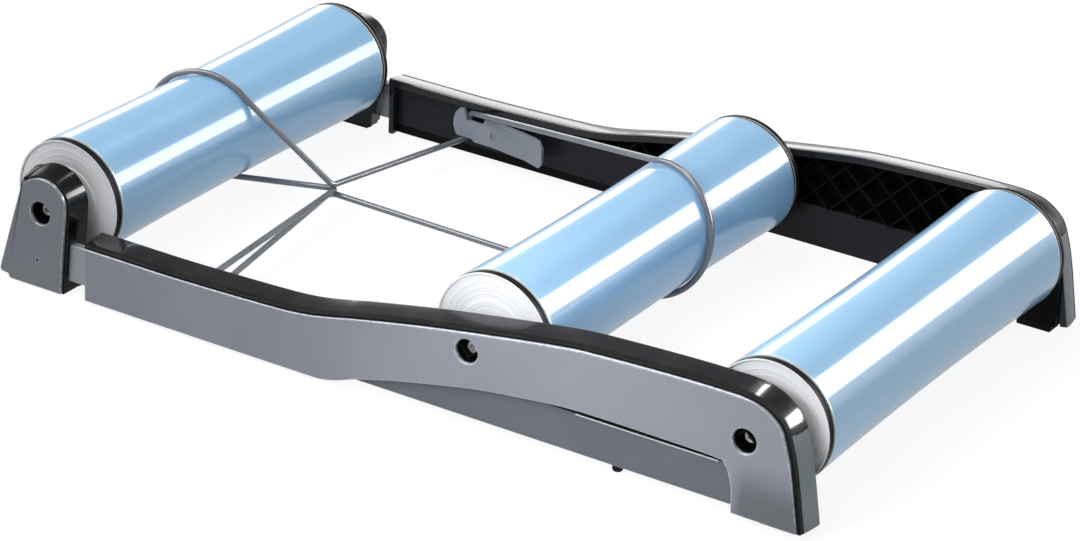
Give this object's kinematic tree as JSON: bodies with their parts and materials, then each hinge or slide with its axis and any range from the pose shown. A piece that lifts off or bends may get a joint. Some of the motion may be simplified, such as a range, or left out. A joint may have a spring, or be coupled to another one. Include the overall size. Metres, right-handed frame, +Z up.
{
  "type": "bike rollers",
  "caption": "Folding bike rollers: tapered-waist rollers on bearings between two side rails, with a sliding front end and an elastic drive belt.",
  "frame": {"origin": "on the floor, under the middle of the whole object in its stored state", "axes": "+X along the rails towards the rear roller, +Y along the axles towards the far rail, +Z up"},
  "size_m": [0.8111, 0.4848, 0.1304],
  "materials": {
    "roller": "glossy light blue",
    "end_cap": "satin pale grey",
    "groove_ring": "glossy black",
    "bearing_steel": "ground",
    "axle_steel": "zinc plated",
    "bolt_steel": "dark zinc",
    "shell": "satin black",
    "cover": "satin grey",
    "beam": "satin dark grey",
    "bar": "satin anodised",
    "clip": "satin black",
    "rubber": "matte",
    "belt": "satin"
  },
  "bodies": {
    "frame": {"near_rail_shell": "shell", "near_rail_cover": "cover", "near_rail_beam": "beam", "near_slide_collar": "clip", "near_belt_clip": "clip", "near_clip_screw": "bolt_steel", "near_rear_pad": "rubber", "near_middle_foot": "rubber", "far_rail_shell": "shell", "far_rail_cover": "cover", "far_rail_beam": "beam", "far_slide_collar": "clip", "far_belt_clip": "clip", "far_clip_screw": "bolt_steel", "far_rear_pad": "rubber", "far_middle_foot": "rubber", "middle_axle": "axle_steel", "near_middle_axle_bolt": "bolt_steel", "far_middle_axle_bolt": "bolt_steel", "rear_axle": "axle_steel", "near_rear_axle_bolt": "bolt_steel", "far_rear_axle_bolt": "bolt_steel", "drive_belt": "belt"},
    "front_carriage": {"near_front_cap_body": "shell", "near_front_cap_plate": "cover", "near_front_cap_screw": "bolt_steel", "near_front_cap_foot": "rubber", "near_slide_bar": "bar", "near_slide_bar_plug": "clip", "far_front_cap_body": "shell", "far_front_cap_plate": "cover", "far_front_cap_screw": "bolt_steel", "far_front_cap_foot": "rubber", "far_slide_bar": "bar", "far_slide_bar_plug": "clip", "front_axle": "axle_steel", "near_front_axle_bolt": "bolt_steel", "far_front_axle_bolt": "bolt_steel"},
    "front_roller": {"front_roller_tube": "roller", "near_front_roller_end_cap": "end_cap", "far_front_roller_end_cap": "end_cap", "near_front_roller_groove_ring": "groove_ring", "far_front_roller_groove_ring": "groove_ring", "near_front_roller_bearing": "bearing_steel", "far_front_roller_bearing": "bearing_steel"},
    "middle_roller": {"middle_roller_tube": "roller", "near_middle_roller_end_cap": "end_cap", "far_middle_roller_end_cap": "end_cap", "near_middle_roller_groove_ring": "groove_ring", "far_middle_roller_groove_ring": "groove_ring", "near_middle_roller_bearing": "bearing_steel", "far_middle_roller_bearing": "bearing_steel"},
    "rear_roller": {"rear_roller_tube": "roller", "near_rear_roller_end_cap": "end_cap", "far_rear_roller_end_cap": "end_cap", "near_rear_roller_groove_ring": "groove_ring", "far_rear_roller_groove_ring": "groove_ring", "near_rear_roller_bearing": "bearing_steel", "far_rear_roller_bearing": "bearing_steel"}
  },
  "joints": [
    {"name": "front_slide", "type": "slide", "parent": "frame", "child": "front_carriage", "axis": [-1, 0, 0], "range_m": [-0.013, 0.53], "deforming": ["drive_belt"]},
    {"name": "front_roller_spin", "type": "hinge", "parent": "front_carriage", "child": "front_roller", "pos_m": [-0.348, 0, 0.0725], "axis": [0, 1, 0], "continuous": true},
    {"name": "middle_roller_spin", "type": "hinge", "parent": "frame", "child": "middle_roller", "pos_m": [0.091, 0, 0.0725], "axis": [0, 1, 0], "continuous": true},
    {"name": "rear_roller_spin", "type": "hinge", "parent": "frame", "child": "rear_roller", "pos_m": [0.348, 0, 0.0725], "axis": [0, 1, 0], "continuous": true}
  ],
  "couplings": [
    {"joint": "front_roller_spin", "follows": "middle_roller_spin", "ratio": 1}
  ]
}
